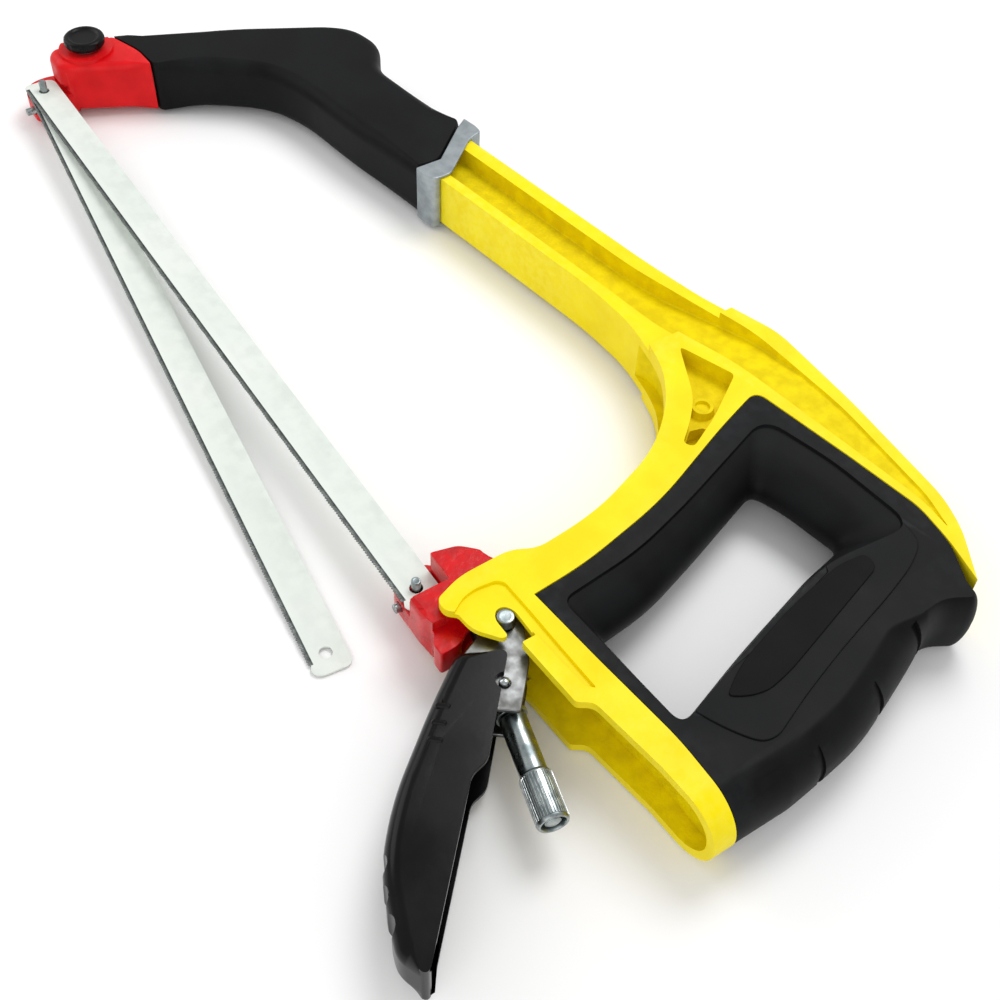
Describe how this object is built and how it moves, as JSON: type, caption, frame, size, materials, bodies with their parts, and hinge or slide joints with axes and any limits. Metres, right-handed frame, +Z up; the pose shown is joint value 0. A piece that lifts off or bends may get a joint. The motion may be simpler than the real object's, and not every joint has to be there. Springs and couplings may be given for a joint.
{
  "type": "hacksaw",
  "caption": "Hacksaw lying flat: cast frame with D handle, separate nose, thumb knob, over-centre tension lever standing open, a mounted blade and a loose one.",
  "frame": {"origin": "middle of the saw's bounding box, on the surface the saw lies on", "axes": "+X along the mounted blade from the nose to the handle, +Y from the blade towards the frame's beam, +Z up through the saw's thickness"},
  "size_m": [0.4274, 0.2166, 0.0307],
  "materials": {
    "yellow_paint": "yellow powder coat, satin",
    "black_grip": "black grip moulding",
    "red_casting": "red powder coat on a small casting",
    "grey_casting": "grey die casting",
    "black_lever": "gloss black coating",
    "zinc_steel": "zinc plated steel",
    "dark_steel": "dull pressed steel",
    "blade_steel": "pale enamelled blade steel",
    "black_knob": "black moulded knob"
  },
  "bodies": {
    "frame": {"frame_casting": "yellow_paint", "handle_grip": "black_grip", "grip_panel_near": "black_grip", "grip_panel_far": "black_grip", "nose_core": "grey_casting", "nose_roll_pin": "zinc_steel", "nose_sleeve": "black_grip", "front_holder": "red_casting", "front_pin_straight": "zinc_steel", "front_pin_angled": "zinc_steel", "clamp_nut": "zinc_steel"},
    "lever": {"lever_shell": "black_lever", "lever_frame": "dark_steel", "hook_pin_near": "zinc_steel", "hook_pin_far": "zinc_steel"},
    "trunnion": {"trunnion": "dark_steel"},
    "rear_holder": {"rear_holder": "red_casting", "rear_pin_straight": "zinc_steel", "rear_pin_angled": "zinc_steel", "drawbar_pin": "zinc_steel"},
    "drawbar": {"drawbar": "zinc_steel"},
    "nut_carrier": {"thrust_washer": "zinc_steel"},
    "tension_nut": {"tension_nut": "zinc_steel"},
    "blade_mounted": {"blade_mounted": "blade_steel"},
    "blade_spare": {"blade_spare": "blade_steel"},
    "knob_carrier": {"knob_washer": "zinc_steel"},
    "thumb_screw": {"thumb_knob": "black_knob", "knob_stud": "zinc_steel"}
  },
  "joints": [
    {"name": "lever_swing", "type": "hinge", "parent": "frame", "child": "lever", "pos_m": [0.12891, -0.03422, 0.0135], "axis": [0, 0, 1], "range_deg": [0, 46]},
    {"name": "trunnion_turn", "type": "hinge", "parent": "lever", "child": "trunnion", "pos_m": [0.1452, -0.04501, 0.0135], "axis": [0, 0, 1], "range_deg": [-27.5, 1]},
    {"name": "holder_slide", "type": "slide", "parent": "frame", "child": "rear_holder", "axis": [1, 0, 0], "range_m": [0, 0.0005]},
    {"name": "drawbar_tilt", "type": "hinge", "parent": "rear_holder", "child": "drawbar", "pos_m": [0.10141, -0.03382, 0.0135], "axis": [0, 0, 1], "range_deg": [-1, 19.5]},
    {"name": "nut_travel", "type": "slide", "parent": "drawbar", "child": "nut_carrier", "axis": [0.9689, -0.2476, 0], "range_m": [0, 0.0041]},
    {"name": "nut_spin", "type": "hinge", "parent": "nut_carrier", "child": "tension_nut", "pos_m": [0.15954, -0.04867, 0.0135], "axis": [0.9689, -0.2476, 0], "range_deg": [0, 1800]},
    {"name": "blade_lift", "type": "slide", "parent": "frame", "child": "blade_mounted", "axis": [0, 0, 1], "range_m": [0, 0.009]},
    {"name": "spare_swing", "type": "hinge", "parent": "frame", "child": "blade_spare", "pos_m": [-0.20009, -0.04652, 0.01225], "axis": [0, 0, 1], "range_deg": [-9, 5.8]},
    {"name": "knob_rise", "type": "slide", "parent": "frame", "child": "knob_carrier", "axis": [0, 0, 1], "range_m": [0, 0.0031]},
    {"name": "knob_turn", "type": "hinge", "parent": "knob_carrier", "child": "thumb_screw", "pos_m": [-0.20349, -0.02462, 0.0275], "axis": [0, 0, 1], "range_deg": [0, 1080]}
  ],
  "couplings": [
    {"joint": "trunnion_turn", "follows": "lever_swing", "ratio": -0.5865},
    {"joint": "drawbar_tilt", "follows": "lever_swing", "ratio": 0.4135},
    {"joint": "holder_slide", "follows": "lever_swing", "m_per_rad": 0.00062},
    {"joint": "nut_travel", "follows": "nut_spin", "m_per_rad": 0.000127},
    {"joint": "knob_rise", "follows": "knob_turn", "m_per_rad": 0.000159}
  ]
}
